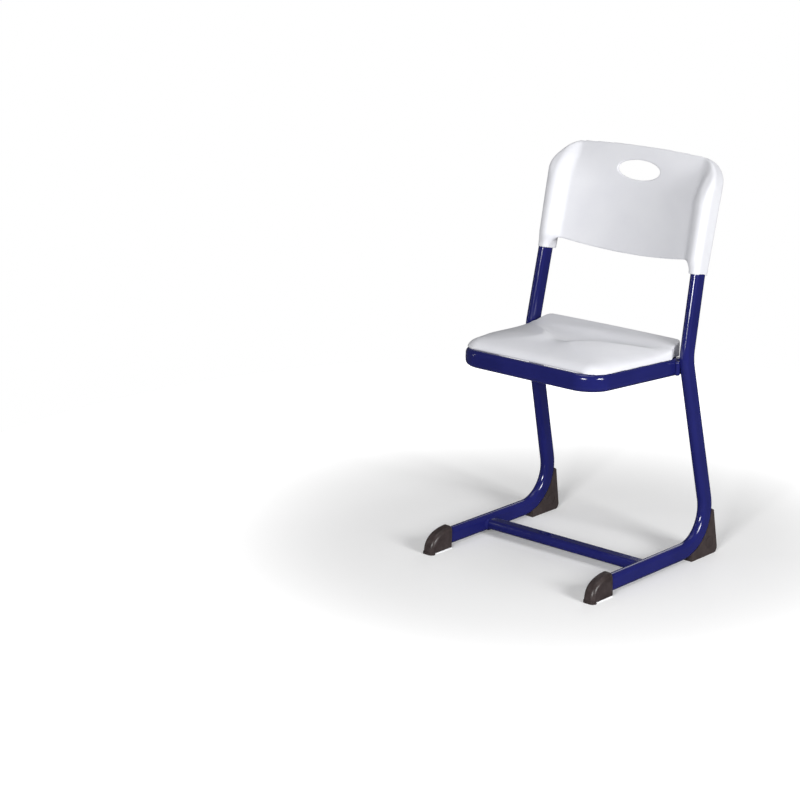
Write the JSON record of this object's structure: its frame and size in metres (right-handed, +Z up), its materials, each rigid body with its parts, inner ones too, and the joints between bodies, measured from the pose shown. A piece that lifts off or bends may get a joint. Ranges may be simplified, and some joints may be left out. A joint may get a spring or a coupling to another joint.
{
  "type": "student chair",
  "caption": "Student desk chair: bent flat-oval steel side frames with foot caps and heel wedges, a foot crossbar, a moulded seat on a U-shaped frame and a moulded backrest with a hand hole.",
  "frame": {"origin": "on the floor under the middle of the chair's bounding box", "axes": "+Z up, -Y the way the sitter faces, X across the chair"},
  "size_m": [0.4284, 0.411, 0.7855],
  "materials": {
    "frame_paint": "glossy dark blue powder coat",
    "shell_plastic": "fine-grained light grey moulding",
    "cap_plastic": "semi-gloss dark brown moulding",
    "heel_plastic": "satin dark brown moulding",
    "pad_plastic": "pale glide strip",
    "screw_steel": "zinc-plated",
    "rivet_metal": "plain"
  },
  "bodies": {
    "root": {"side_frame_right": "frame_paint", "side_frame_left": "frame_paint", "seat_frame": "frame_paint", "rear_seat_rail": "frame_paint", "foot_crossbar": "frame_paint", "seat_tabs": "frame_paint", "crossbar_welds": "frame_paint", "rear_rail_welds": "frame_paint", "seat_tab_welds": "frame_paint", "seat_frame_welds": "frame_paint", "seat_screws": "screw_steel", "backrest_rivets": "rivet_metal", "foot_cap_right": "cap_plastic", "foot_cap_left": "cap_plastic", "heel_right": "heel_plastic", "heel_left": "heel_plastic", "glide_pad_right": "pad_plastic", "glide_pad_left": "pad_plastic", "seat_shell": "shell_plastic", "backrest_shell": "shell_plastic"}
  },
  "joints": []
}
